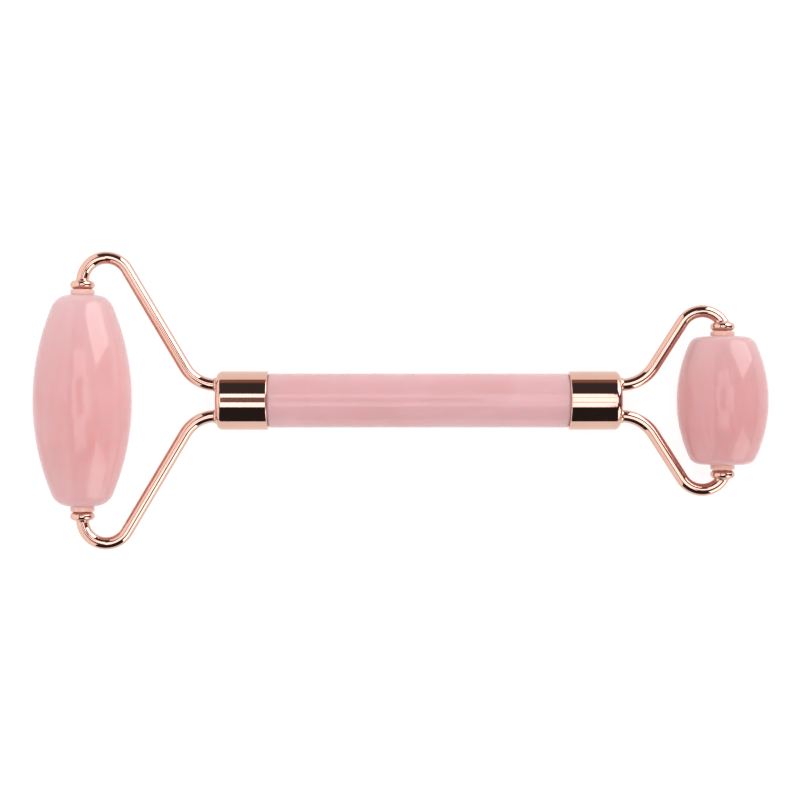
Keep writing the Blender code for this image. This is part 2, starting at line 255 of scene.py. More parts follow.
softboxes = [
    add_softbox("back_softbox", BACK_SOFTBOX_HEADINGS, BACK_SOFTBOX_ELEVATIONS, BACK_SOFTBOX_BRIGHTNESS),
    add_softbox("front_softbox", FRONT_SOFTBOX_HEADINGS, FRONT_SOFTBOX_ELEVATIONS,
                FRONT_SOFTBOX_BRIGHTNESS),
    add_panel("left_panel"),
]
for softbox in softboxes:
    softbox.visible_diffuse = False
fills = [
    add_softbox("back_fill", FILL_HEADINGS, FILL_ELEVATIONS, FILL_BRIGHTNESS),
    add_softlight("ceiling_fill", CEILING_SIZE, CEILING_SPOT, CEILING_BRIGHTNESS),
]
for fill in fills:
    fill.visible_glossy = False

# %% [markdown]
# ## Room
# The room is a dark corridor that runs across the tool. Its pale walls, at the left and right, light the
# stone but are left out of mirrored rays, so the metal shows the lights and, as black bands, the
# corridor's ends. Two angles tell where a ray goes: its roll to the right and its pitch to the back, both
# from straight up. Each has a ramp of levels, and the brighter of the two is used. Where the room is seen
# directly, beyond the table, it is one plain pale level.

# %% Paint the room
ROOM_ROLL_STOPS = ((-90, 0.72), (-48, 0.72), (-26, 0.0), (30, 0.0), (54, 1.05), (90, 1.05))
ROOM_FRONT = (0.024, 0.022, 0.024)
ROOM_OVERHEAD = (0.22, 0.15, 0.15)
ROOM_BACK = (0.05, 0.046, 0.048)
ROOM_BACK_FOOT = (0.29, 0.15, 0.12)
ROOM_PITCH_STOPS = ((-30, ROOM_FRONT), (-12, ROOM_OVERHEAD), (12, ROOM_OVERHEAD), (30, ROOM_BACK),
                    (70, ROOM_BACK), (78, ROOM_BACK_FOOT))
ROOM_LIMIT = 90
MIRRORED_WALL_LEVEL = 0.0
SURROUND_LEVEL = 0.92

room = bpy.data.worlds.new("studio_room")
room.use_nodes = True
bpy.context.scene.world = room
room_tree = room.node_tree
split = add_node(room_tree, "ShaderNodeSeparateXYZ")
room_tree.links.new(add_node(room_tree, "ShaderNodeTexCoord").outputs["Generated"], split.inputs["Vector"])


def ramp_by_angle(side, start, stops):
    """A ramp of colours over the angle in degrees that a ray turns from one axis to another."""
    lean = add_node(room_tree, "ShaderNodeMath", operation="ARCTAN2")
    room_tree.links.new(split.outputs[side], lean.inputs[0])
    room_tree.links.new(split.outputs[start], lean.inputs[1])
    share = add_node(room_tree, "ShaderNodeMapRange")
    share.inputs["From Min"].default_value = -math.radians(ROOM_LIMIT)
    share.inputs["From Max"].default_value = math.radians(ROOM_LIMIT)
    room_tree.links.new(lean.outputs["Value"], share.inputs["Value"])
    placed = [((angle + ROOM_LIMIT) / (2 * ROOM_LIMIT), colour) for angle, colour in stops]
    ramp = ramp_between(room_tree, placed)
    room_tree.links.new(share.outputs["Result"], ramp.inputs["Fac"])
    return ramp.outputs["Color"]


def in_greys(stops):
    """Stops with their levels as neutral colours."""
    return [(angle, grey(level)) for angle, level in stops]


ray = add_node(room_tree, "ShaderNodeLightPath")
walls = add_node(room_tree, "ShaderNodeMix", data_type="RGBA")
room_tree.links.new(ray.outputs["Is Glossy Ray"], walls.inputs["Factor"])
room_tree.links.new(ramp_by_angle("X", "Z", in_greys(ROOM_ROLL_STOPS)), walls.inputs["A"])
walls.inputs["B"].default_value = (*grey(MIRRORED_WALL_LEVEL), 1.0)
brighter = add_node(room_tree, "ShaderNodeMix", data_type="RGBA", blend_type="LIGHTEN")
brighter.inputs["Factor"].default_value = 1.0
room_tree.links.new(walls.outputs["Result"], brighter.inputs["A"])
room_tree.links.new(ramp_by_angle("Y", "Z", ROOM_PITCH_STOPS), brighter.inputs["B"])
surround = add_node(room_tree, "ShaderNodeMix", data_type="RGBA")
room_tree.links.new(ray.outputs["Is Camera Ray"], surround.inputs["Factor"])
room_tree.links.new(brighter.outputs["Result"], surround.inputs["A"])
surround.inputs["B"].default_value = (*grey(SURROUND_LEVEL), 1.0)
room_tree.links.new(surround.outputs["Result"], room_tree.nodes["Background"].inputs["Color"])
bpy.context.scene.view_settings.view_transform = "Standard"
print("room stops:", len(ROOM_ROLL_STOPS), "and", len(ROOM_PITCH_STOPS))

# %% [markdown]
# ## Where the pieces go
# The handle's axis runs through both rollers' hinges, so the two hinges give the tool's place and lean.
# Each end has a frame of its own at the outer face of its metal cup. Its X axis points outwards along the
# handle and its Y axis runs along the roller, so both ends are modelled the same way round.

# %% Make a frame for each end
FERRULE_LENGTH = 0.0101
GRIP_LENGTH = 0.0592
HALF_TURN = math.pi

End = namedtuple("End", "name diameter length land edge_round yoke_gap neck_radius hook_radius hook_turn")
LARGE_END = End(name="large", diameter=0.0193, length=0.0416, land=0.0002, edge_round=0.0037,
                yoke_gap=0.0169, neck_radius=0.0070, hook_radius=0.0047, hook_turn=math.radians(88.0))
SMALL_END = End(name="small", diameter=0.0179, length=0.0252, land=0.0020, edge_round=0.0024,
                yoke_gap=0.0114, neck_radius=0.0076, hook_radius=0.0047, hook_turn=math.radians(58.0))
ENDS = (LARGE_END, SMALL_END)


def axis_reach(end):
    """Distance from a cup's outer face to the axis of its roller."""
    return end.yoke_gap + end.diameter / 2


large_hinge = hinges["large_roller_spin"]
small_hinge = hinges["small_roller_spin"]
along = (small_hinge - large_hinge).normalized()
across = Vector((0.0, 1.0, 0.0))
lean = Matrix((along, across, along.cross(across))).transposed().to_4x4()
stand_along_x = Matrix.Rotation(QUARTER_TURN, 4, "Y")
stand_along_y = Matrix.Rotation(-QUARTER_TURN, 4, "X")
turn_over = Matrix.Rotation(HALF_TURN, 4, "X")
turn_round = Matrix.Rotation(HALF_TURN, 4, "Y")

large_face = large_hinge + along * axis_reach(LARGE_END)
small_face = small_hinge - along * axis_reach(SMALL_END)
end_frames = {"large": Matrix.Translation(large_face) @ lean @ turn_round,
              "small": Matrix.Translation(small_face) @ lean}
handle_frame = Matrix.Translation((large_face + small_face) / 2) @ lean
print("cup faces are", round(1000 * (small_face - large_face).length, 3), "mm apart")

# %% [markdown]
# ## A lathe for the round pieces
# Most of this tool is turned work. A profile is drawn from a single point: a straight stretch is an
# extrude, and a round is a spin of the last point about the round's centre. Then the whole profile is
# spun once about the lathe's axis, Z. Each straight stretch gets a point close to both its ends, so that
# the smooth shading of a round stays in the round and the flats mirror the studio without a wave.

# %% Set up the lathe
START_SIZE = 0.001
SUPPORT = 0.00006
SUPPORTED_LENGTH = 4 * SUPPORT
LATHE_STEPS = 128
MERGE_DISTANCE = 5e-7
SHARP_ANGLE = math.radians(30.0)


def tell(piece):
    """Prints what was made."""
    sides = [round(1000 * side, 2) for side in piece.dimensions]
    print(piece.name, "faces:", len(piece.data.polygons), "size in mm:", sides)


def start_profile(name, radius, height):
    """A new piece in edit mode with only a profile's first point. Returns it and the pen's place."""
    bpy.ops.object.select_all(action="DESELECT")
    bpy.ops.mesh.primitive_plane_add(size=START_SIZE)
    piece = bpy.context.object
    piece.name = name
    piece.data.name = name
    bpy.ops.object.mode_set(mode="EDIT")
    bpy.ops.mesh.merge(type="CENTER")
    pen = Vector((radius, 0.0, height))
    bpy.ops.transform.translate(value=pen)
    return piece, pen


def line_to(pen, radius, height):
    """Draws a straight stretch, with a supporting point near each end of a long one."""
    stretch = Vector((radius, 0.0, height)) - pen
    parts = [stretch]
    if stretch.length > SUPPORTED_LENGTH:
        edge = stretch.normalized() * SUPPORT
        parts = [edge, stretch - 2 * edge, edge]
    for part in parts:
        bpy.ops.mesh.extrude_region_move(TRANSFORM_OT_translate={"value": part})
    pen += stretch


def round_about(pen, radius, height, angle, steps):
    """Draws a round about a centre. A positive angle goes from the radius towards the height."""
    centre = Vector((radius, 0.0, height))
    bpy.ops.mesh.spin(steps=steps, angle=angle, center=centre, axis=(0.0, 1.0, 0.0))
    pen.xyz = centre + Matrix.Rotation(-angle, 3, "Y") @ (pen - centre)


def close_shape(piece):
    """Merges doubles, points the faces outwards, leaves edit mode and shades the piece."""
    bpy.ops.mesh.select_all(action="SELECT")
    bpy.ops.mesh.remove_doubles(threshold=MERGE_DISTANCE)
    bpy.ops.mesh.normals_make_consistent(inside=False)
    bpy.ops.object.mode_set(mode="OBJECT")
    bpy.ops.object.shade_smooth_by_angle(angle=SHARP_ANGLE)
    tell(piece)


def turn_on_lathe(piece, steps=LATHE_STEPS):
    """Spins the whole profile once about Z."""
    bpy.ops.mesh.select_all(action="SELECT")
    bpy.ops.mesh.spin(steps=steps, angle=math.tau, center=(0.0, 0.0, 0.0), axis=(0.0, 0.0, 1.0))
    close_shape(piece)


def select_only(piece):
    """Makes one piece the only selected and active one."""
    bpy.ops.object.select_all(action="DESELECT")
    piece.select_set(True)
    bpy.context.view_layer.objects.active = piece


def put(piece, place):
    """Moves a finished piece to its place and writes the place into its mesh."""
    select_only(piece)
    piece.matrix_world = place
    bpy.ops.object.transform_apply(location=True, rotation=True, scale=True)


def repeat(pattern, places):
    """Copies a pattern to each named place, each copy with its own mesh, and removes the pattern."""
    copies = {}
    for name, place in places.items():
        select_only(pattern)
        bpy.ops.object.duplicate(linked=False)
        copy = bpy.context.object
        copy.name = name
        copy.data.name = name
        put(copy, place)
        copies[name] = copy
    bpy.data.objects.remove(pattern, do_unlink=True)
    print("placed:", sorted(copies))
    return copies


pieces = {}
print("lathe ready, steps:", LATHE_STEPS)

# %% [markdown]
# ## Stone rollers
# Each roller is drilled through, then ground to a barrel and polished. Its side is one long arc that runs
# smoothly into a round at each end, and a small flat land is left round the hole. The belly's radius
# follows from the other sizes: it is the one circle that touches both the widest point and the end's
# round.

# %% Turn the stones
PIN_RADIUS = 0.0010
RUNNING_CLEARANCE = 0.00005
BUSH_WALL = 0.00075
SEAT_GAP = 0.00005
FLANGE_LIP = 0.00055
BUSH_BORE_RADIUS = PIN_RADIUS + RUNNING_CLEARANCE
SLEEVE_RADIUS = BUSH_BORE_RADIUS + BUSH_WALL
STONE_BORE_RADIUS = SLEEVE_RADIUS + SEAT_GAP
FLANGE_RADIUS = SLEEVE_RADIUS + FLANGE_LIP
BELLY_STEPS = 56
STONE_ROUND_STEPS = 18


def turn_stone(end):
    """A crowned roller about Z, with its bore."""
    widest = end.diameter / 2
    land = FLANGE_RADIUS + end.land
    drop = widest - land
    half = end.length / 2 - end.edge_round
    crown = (drop ** 2 + half ** 2 - end.edge_round ** 2) / (2 * (drop - end.edge_round))
    tangent = math.atan2(half, land - widest + crown)
    bottom = -end.length / 2
    stone, pen = start_profile(f"{end.name}_stone", STONE_BORE_RADIUS, bottom)
    line_to(pen, land, bottom)
    round_about(pen, land, -half, QUARTER_TURN - tangent, STONE_ROUND_STEPS)
    round_about(pen, widest - crown, 0.0, 2 * tangent, BELLY_STEPS)
    round_about(pen, land, half, QUARTER_TURN - tangent, STONE_ROUND_STEPS)
    line_to(pen, STONE_BORE_RADIUS, -bottom)
    line_to(pen, STONE_BORE_RADIUS, bottom)
    turn_on_lathe(stone)
    print("belly radius in mm:", round(1000 * crown, 2))
    return stone


for end in ENDS:
    stone = turn_stone(end)
    put(stone, Matrix.Translation(hinges[f"{end.name}_roller_spin"]) @ lean @ stand_along_y)
    pieces[f"{end.name}_roller_stone"] = stone

# %% [markdown]
# ## Handle
# The handle is a straight stone rod. Near each cup it has a small rounded shoulder, and beyond it a
# slightly thinner spigot that is glued inside the cup. The profile could be half of this and mirrored,
# but drawn whole it needs no seam in the middle of the grip.

# %% Turn the handle
HANDLE_RADIUS = 0.00535
SHOULDER_STEP = 0.0003
SHOULDER_ROUND = 0.0006
SPIGOT_RADIUS = HANDLE_RADIUS - SHOULDER_STEP
SPIGOT_LENGTH = 0.0061
SPIGOT_CHAMFER = 0.0004
SHOULDER_STEPS = 12

swing = math.acos(1.0 - SHOULDER_STEP / SHOULDER_ROUND)
shoulder_start = GRIP_LENGTH / 2 - SHOULDER_ROUND * math.sin(swing)
shoulder_radius = HANDLE_RADIUS - SHOULDER_ROUND
spigot_end = GRIP_LENGTH / 2 + SPIGOT_LENGTH
handle, pen = start_profile("handle", 0.0, -spigot_end)
line_to(pen, SPIGOT_RADIUS - SPIGOT_CHAMFER, -spigot_end)
line_to(pen, SPIGOT_RADIUS, SPIGOT_CHAMFER - spigot_end)
line_to(pen, SPIGOT_RADIUS, -GRIP_LENGTH / 2)
round_about(pen, shoulder_radius, -shoulder_start, swing, SHOULDER_STEPS)
line_to(pen, HANDLE_RADIUS, shoulder_start)
round_about(pen, shoulder_radius, shoulder_start, swing, SHOULDER_STEPS)
line_to(pen, SPIGOT_RADIUS, spigot_end - SPIGOT_CHAMFER)
line_to(pen, SPIGOT_RADIUS - SPIGOT_CHAMFER, spigot_end)
line_to(pen, 0.0, spigot_end)
turn_on_lathe(handle)
put(handle, handle_frame @ stand_along_x)
pieces["handle_rod"] = handle

# %% [markdown]
# ## Metal cups
# Each end of the handle sits in a drawn metal cup, closed at its outer end. The cup's outer edge is well
# rounded and its rim is rolled, so both catch a bright line. The wires go through two holes in the end
# and are brazed there, which leaves a small flared collar round each. The cup and the collars are turned,
# and a Boolean joins them, because a collar runs out over the cup's rounded edge where no neat loop could
# be extruded.

# %% Turn a cup
FERRULE_WALL = 0.0007
FERRULE_END_WALL = 0.0010
FERRULE_EDGE_ROUND = 0.0011
FERRULE_RIM_ROUND = 0.00028
GLUE_GAP = 0.00005
FERRULE_BORE_RADIUS = SPIGOT_RADIUS + GLUE_GAP
FERRULE_RADIUS = FERRULE_BORE_RADIUS + FERRULE_WALL
EDGE_STEPS = 16
RIM_STEPS = 10

edge_radius = FERRULE_RADIUS - FERRULE_EDGE_ROUND
rim_height = FERRULE_RIM_ROUND - FERRULE_LENGTH
cup, pen = start_profile("cup", 0.0, 0.0)
line_to(pen, edge_radius, 0.0)
round_about(pen, edge_radius, -FERRULE_EDGE_ROUND, -QUARTER_TURN, EDGE_STEPS)
line_to(pen, FERRULE_RADIUS, rim_height)
round_about(pen, FERRULE_RADIUS - FERRULE_RIM_ROUND, rim_height, -QUARTER_TURN, RIM_STEPS)
line_to(pen, FERRULE_BORE_RADIUS + FERRULE_RIM_ROUND, -FERRULE_LENGTH)
round_about(pen, FERRULE_BORE_RADIUS + FERRULE_RIM_ROUND, rim_height, -QUARTER_TURN, RIM_STEPS)
line_to(pen, FERRULE_BORE_RADIUS, -FERRULE_END_WALL)
line_to(pen, 0.0, -FERRULE_END_WALL)
turn_on_lathe(cup)

# %% Turn the collars and the drills
WIRE_RADIUS = 0.001225
ARM_INSET = 0.0015
ARM_OFFSET = FERRULE_RADIUS - ARM_INSET - WIRE_RADIUS
COLLAR_HEIGHT = 0.0007
COLLAR_LIP = 0.00018
COLLAR_LIP_ROUND = 0.00008
COLLAR_SWEEP = math.radians(55.0)
COLLAR_SUNK = 0.0005
BRAZE_FIT = 0.00001
WIRE_STEPS = 48

collar_lip = WIRE_RADIUS + COLLAR_LIP
collar_shoulder = COLLAR_HEIGHT - COLLAR_LIP_ROUND
flare_radius = collar_shoulder / math.sin(COLLAR_SWEEP)
collar, pen = start_profile("collar", 0.0, COLLAR_HEIGHT)
line_to(pen, collar_lip - COLLAR_LIP_ROUND, COLLAR_HEIGHT)
round_about(pen, collar_lip - COLLAR_LIP_ROUND, collar_shoulder, -QUARTER_TURN, RIM_STEPS)
round_about(pen, collar_lip + flare_radius, collar_shoulder, COLLAR_SWEEP, RIM_STEPS)
line_to(pen, pen.x, -COLLAR_SUNK)
line_to(pen, 0.0, -COLLAR_SUNK)
turn_on_lathe(collar, WIRE_STEPS)

drill_radius = WIRE_RADIUS + BRAZE_FIT
drill_top = 2 * COLLAR_HEIGHT
drill_tip = -2 * FERRULE_END_WALL
drill, pen = start_profile("drill", 0.0, drill_top)
line_to(pen, drill_radius, drill_top)
line_to(pen, drill_radius, drill_tip)
line_to(pen, 0.0, drill_tip)
turn_on_lathe(drill, WIRE_STEPS)

# %% Join the collars to the cup and drill it


def combine(piece, helper, operation):
    """Joins a helper to a piece, or cuts it out."""
    select_only(piece)
    bpy.ops.object.modifier_add(type="BOOLEAN")
    step = piece.modifiers[-1]
    step.operation = operation
    step.solver = "EXACT"
    step.object = helper
    bpy.ops.object.modifier_apply(modifier=step.name)


wire_spots = {"upper": Matrix.Translation((0.0, ARM_OFFSET, 0.0)),
              "lower": Matrix.Translation((0.0, -ARM_OFFSET, 0.0))}
helpers = list(repeat(collar, {f"{side}_collar": spot for side, spot in wire_spots.items()}).values())
for helper in helpers:
    combine(cup, helper, "UNION")
drills = list(repeat(drill, {f"{side}_drill": spot for side, spot in wire_spots.items()}).values())
for helper in drills:
    combine(cup, helper, "DIFFERENCE")
for helper in helpers + drills:
    bpy.data.objects.remove(helper, do_unlink=True)
bpy.ops.object.mode_set(mode="EDIT")
close_shape(cup)
pieces.update(repeat(cup, {f"{end.name}_ferrule": end_frames[end.name] @ stand_along_x for end in ENDS}))

# %% [markdown]
# ## Wire arms
# Each arm is one length of round wire: a tail in the cup, a bend outwards at the neck, a straight run and
# a hook back to the roller's axis. Here it is made as on a bending jig. A round face is extruded for each
# straight and spun about the jig's pin for each bend. The straight run is the common tangent of the two
# pins' circles, so there is no kink anywhere. The hook is bent too far, cut flat and flared into a small
# brazed foot. The cut is exact, because points that snap to it would leave holes in the wire.

# %% Work out the bends
FERRULE_TAIL = 0.0018
NECK_LEAD = 0.0003
FLANGE_THICKNESS = 0.0010
AXIAL_PLAY = 0.0001
PIN_HEAD_THICKNESS = 0.00165
FOOT_HEIGHT = 0.00036
FOOT_RADIUS = 0.00156

Bends = namedtuple("Bends", "neck hook rise run foot_height")


def head_seat(end):
    """Distance from the roller's middle to the inner face of a pin's head."""
    return end.length / 2 + SEAT_GAP + FLANGE_THICKNESS + AXIAL_PLAY


def find_bends(end):
    """Centres of the neck and the hook, the slope and length of the run, and where the foot stands."""
    foot_height = head_seat(end) + PIN_HEAD_THICKNESS + BRAZE_FIT
    neck = Vector((NECK_LEAD, ARM_OFFSET + end.neck_radius, 0.0))
    hook = Vector((axis_reach(end) - end.hook_radius * math.sin(end.hook_turn),
                   foot_height - end.hook_radius * math.cos(end.hook_turn), 0.0))
    between = hook - neck
    radii = end.neck_radius + end.hook_radius
    run = math.sqrt(between.length_squared - radii ** 2)
    rise = math.atan2(between.y, between.x) + math.atan2(radii, run)
    return Bends(neck, hook, rise, run, foot_height)


for end in ENDS:
    bends = find_bends(end)
    print(end.name, "run in mm:", round(1000 * bends.run, 2), "rise:", round(math.degrees(bends.rise), 1))

# %% Bend the wires
NECK_STEPS = 28
HOOK_STEPS = 56
FOOT_STEPS = 6
FOOT_CURVE = 2
HOOK_OVERRUN = math.radians(20.0)
CUT_ACCURACY = 0.000001
CUT_MERGE_DISTANCE = 0.00003


def feed(vector):
    """Extrudes the wire's end face straight on."""
    bpy.ops.mesh.extrude_region_move(TRANSFORM_OT_translate={"value": vector})


def bend(centre, angle, steps):
    """Spins the wire's end face about a jig's pin. A positive angle is anticlockwise from above."""
    bpy.ops.mesh.spin(steps=steps, angle=angle, center=centre, axis=(0.0, 0.0, -1.0))


def selected_box(piece):
    """Middle and half-sizes of what is selected in edit mode."""
    spots = [vert.co for vert in bmesh.from_edit_mesh(piece.data).verts if vert.select]
    low = Vector([min(spot[axis] for spot in spots) for axis in range(3)])
    high = Vector([max(spot[axis] for spot in spots) for axis in range(3)])
    return (low + high) / 2, (high - low) / 2


def cut_wire(piece, hook, height):
    """Cuts the hook's end flat at a height, merges tiny edges and leaves the new end face selected."""
    bpy.ops.mesh.select_all(action="DESELECT")
    shape = bmesh.from_edit_mesh(piece.data)
    for face in shape.faces:
        if face.calc_center_median().x > hook.x:
            face.select_set(True)
    bmesh.update_edit_mesh(piece.data)
    bpy.ops.mesh.bisect(plane_co=(0.0, height, 0.0), plane_no=(0.0, -1.0, 0.0), use_fill=True,
                        clear_outer=True, threshold=CUT_ACCURACY)
    bpy.ops.mesh.remove_doubles(threshold=CUT_MERGE_DISTANCE)


def flare_foot(piece, end, bends):
    """Draws the cut end down to the pin's head in steps, each a little wider than the last."""
    start, half = selected_box(piece)
    to_foot = Vector((axis_reach(end), bends.foot_height, 0.0)) - start
    size = half.copy()
    for step in range(1, FOOT_STEPS + 1):
        share = (step / FOOT_STEPS) ** FOOT_CURVE
        feed(to_foot / FOOT_STEPS)
        wide = half.lerp(Vector((FOOT_RADIUS, half.y, FOOT_RADIUS)), share)
        middle = start + to_foot * step / FOOT_STEPS
        bpy.ops.transform.resize(value=(wide.x / size.x, 1.0, wide.z / size.z), center_override=middle)
        size = wide


def bend_arm(end):
    """One wire arm in the frame of its end, from its tail to its foot."""
    bends = find_bends(end)
    tail = -FERRULE_END_WALL - FERRULE_TAIL
    bpy.ops.object.select_all(action="DESELECT")
    bpy.ops.mesh.primitive_circle_add(vertices=WIRE_STEPS, radius=WIRE_RADIUS, fill_type="NGON",
                                      location=(tail, ARM_OFFSET, 0.0), rotation=(0.0, QUARTER_TURN, 0.0))
    arm = bpy.context.object
    arm.name = f"{end.name}_arm"
    bpy.ops.object.transform_apply(location=True, rotation=True, scale=True)
    bpy.ops.object.mode_set(mode="EDIT")
    feed((NECK_LEAD - tail, 0.0, 0.0))
    bend(bends.neck, bends.rise, NECK_STEPS)
    feed((bends.run * math.cos(bends.rise), bends.run * math.sin(bends.rise), 0.0))
    bend(bends.hook, -(bends.rise + end.hook_turn + HOOK_OVERRUN), HOOK_STEPS)
    cut_wire(arm, bends.hook, bends.foot_height + FOOT_HEIGHT)
    flare_foot(arm, end, bends)
    close_shape(arm)
    return arm


for end in ENDS:
    here = end_frames[end.name]
    places = {f"{end.name}_upper_arm": here, f"{end.name}_lower_arm": here @ turn_over}
    pieces.update(repeat(bend_arm(end), places))

# %% [markdown]
# ## Axle pins
# A headed pin is brazed to each arm's end. The bead-like head shows beside the stone, and its shank is
# the stub axle that the roller's bush turns on. The head's rim is a full half circle, drawn by one spin.

# %% Turn a pin and place the four
PIN_LENGTH = 0.0055
PIN_CHAMFER = 0.0003
PIN_HEAD_RADIUS = 0.0024
HEAD_STEPS = 24

rim = PIN_HEAD_THICKNESS / 2
pin, pen = start_profile("pin", 0.0, -PIN_LENGTH)
line_to(pen, PIN_RADIUS - PIN_CHAMFER, -PIN_LENGTH)
line_to(pen, PIN_RADIUS, PIN_CHAMFER - PIN_LENGTH)
line_to(pen, PIN_RADIUS, 0.0)
line_to(pen, PIN_HEAD_RADIUS - rim, 0.0)
round_about(pen, PIN_HEAD_RADIUS - rim, rim, HALF_TURN, HEAD_STEPS)
line_to(pen, 0.0, PIN_HEAD_THICKNESS)
turn_on_lathe(pin)

pin_places = {}
for end in ENDS:
    seat = Matrix.Translation((axis_reach(end), head_seat(end), 0.0)) @ stand_along_y
    pin_places[f"{end.name}_upper_axle_pin"] = end_frames[end.name] @ seat
    pin_places[f"{end.name}_lower_axle_pin"] = end_frames[end.name] @ turn_over @ seat
pieces.update(repeat(pin, pin_places))

# %% [markdown]
# ## Bushes
# Stone would squeak and wear on a metal pin, so a flanged nylon bush is pressed into each end of the
# bore. Only the flange shows, as a pale ring between the stone and the pin's head.

# %% Turn a bush and place the four
BUSH_SLEEVE_LENGTH = 0.0060
BUSH_CHAMFER = 0.0002
FLANGE_ROUND = 0.0002

bush, pen = start_profile("bush", BUSH_BORE_RADIUS, FLANGE_THICKNESS)
line_to(pen, BUSH_BORE_RADIUS, -BUSH_SLEEVE_LENGTH)
line_to(pen, SLEEVE_RADIUS - BUSH_CHAMFER, -BUSH_SLEEVE_LENGTH)
line_to(pen, SLEEVE_RADIUS, BUSH_CHAMFER - BUSH_SLEEVE_LENGTH)
line_to(pen, SLEEVE_RADIUS, 0.0)
line_to(pen, FLANGE_RADIUS, 0.0)
line_to(pen, FLANGE_RADIUS, FLANGE_THICKNESS - FLANGE_ROUND)
round_about(pen, FLANGE_RADIUS - FLANGE_ROUND, FLANGE_THICKNESS - FLANGE_ROUND, QUARTER_TURN, RIM_STEPS)
line_to(pen, BUSH_BORE_RADIUS, FLANGE_THICKNESS)
turn_on_lathe(bush)

bush_places = {}
for end in ENDS:
    seat = Matrix.Translation((axis_reach(end), end.length / 2 + SEAT_GAP, 0.0)) @ stand_along_y
    bush_places[f"{end.name}_upper_bush"] = end_frames[end.name] @ seat
    bush_places[f"{end.name}_lower_bush"] = end_frames[end.name] @ turn_over @ seat
pieces.update(repeat(bush, bush_places))

# %% [markdown]
# ## Stone finish
# The stone is milky pink and lets a little light in. Broad clouds drift from salmon to pale rose, and faint
# veils are drawn out along each piece's length. The rollers are painted paler towards their ends, most at
# the back end: this is painted light, for the light from behind that glows through the stone. The pattern
# is read from Object coordinates, which sit still in the piece when it turns. Subsurface light gives the
# milky depth, a low roughness the wet-looking polish, and a low gloss level keeps the reflections faint.
# No two stones are alike, so each has a cast of its own.

# %% Mix the stone
STONE_DEEP = (0.80, 0.415, 0.40)
STONE_BODY = (0.825, 0.44, 0.435)
STONE_PALE = (0.84, 0.465, 0.465)
# The veil colour is also the colour that the rollers' ends are painted towards, as painted light.
STONE_VEIL_AND_PAINTED_LIGHT = (0.83, 0.56, 0.565)
LARGE_CAST = (1.0, 1.0, 1.0)
SMALL_CAST = (0.935, 0.885, 0.885)
HANDLE_CAST = (0.96, 1.10, 1.13)
CLOUD_SCALE = 70.0
CLOUD_DETAIL = 3.0
CLOUD_WARP = 0.6
CLOUD_STOPS = (0.30, 0.50, 0.70)
VEIL_SCALE = 190.0
VEIL_DETAIL = 4.0
VEIL_WARP = 1.2
VEIL_STOPS = (0.52, 0.60, 0.70)
VEIL_STRENGTH = 0.16
# Painted light: how far each roller is painted towards the veil colour along its length, most at its back end.
PAINTED_LIGHT_STOPS = ((0.0, 0.4), (0.28, 0.0), (0.65, 0.12), (1.0, 0.95))
STONE_ROUGHNESS = (0.03, 0.06)
STONE_DEPTH = 0.0040
STONE_SPREAD = (1.0, 0.55, 0.50)
STONE_MILK = 0.75
STONE_IOR = 1.54
STONE_GLOSS = 0.3
PIT_SCALE = 900.0
PIT_HEIGHT = 0.0000005
PLAIN_DETAIL = 2.0
GRAIN_ALONG = 0.22


def noise(tree, vector, scale, detail, warp=0.0):
    """A noise texture at a scale in waves per metre."""
    texture = add_node(tree, "ShaderNodeTexNoise")
    texture.inputs["Scale"].default_value = scale
    texture.inputs["Detail"].default_value = detail
    texture.inputs["Distortion"].default_value = warp
    tree.links.new(vector, texture.inputs["Vector"])
    return texture.outputs["Fac"]


def vary(tree, fac, low, high, shader, socket):
    """Drives a shader's socket between two values."""
    spread = add_node(tree, "ShaderNodeMapRange")
    spread.inputs["To Min"].default_value = low
    spread.inputs["To Max"].default_value = high
    tree.links.new(fac, spread.inputs["Value"])
    tree.links.new(spread.outputs["Result"], shader.inputs[socket])


def emboss(tree, fac, depth, shader):
    """Gives the surface a fine relief of a depth in metres."""
    relief = add_node(tree, "ShaderNodeBump")
    relief.inputs["Distance"].default_value = depth
    tree.links.new(fac, relief.inputs["Height"])
    tree.links.new(relief.outputs["Normal"], shader.inputs["Normal"])


def painted_light_ends(tree, place, half):
    """Painted light: how much paler the stone is painted, by the place along a roller of a half-length."""
    split = add_node(tree, "ShaderNodeSeparateXYZ")
    tree.links.new(place, split.inputs["Vector"])
    share = add_node(tree, "ShaderNodeMapRange")
    share.inputs["From Min"].default_value = -half
    share.inputs["From Max"].default_value = half
    tree.links.new(split.outputs["Y"], share.inputs["Value"])
    ramp = ramp_between(tree, [(position, grey(level)) for position, level in PAINTED_LIGHT_STOPS])
    tree.links.new(share.outputs["Result"], ramp.inputs["Fac"])
    return ramp.outputs["Color"]


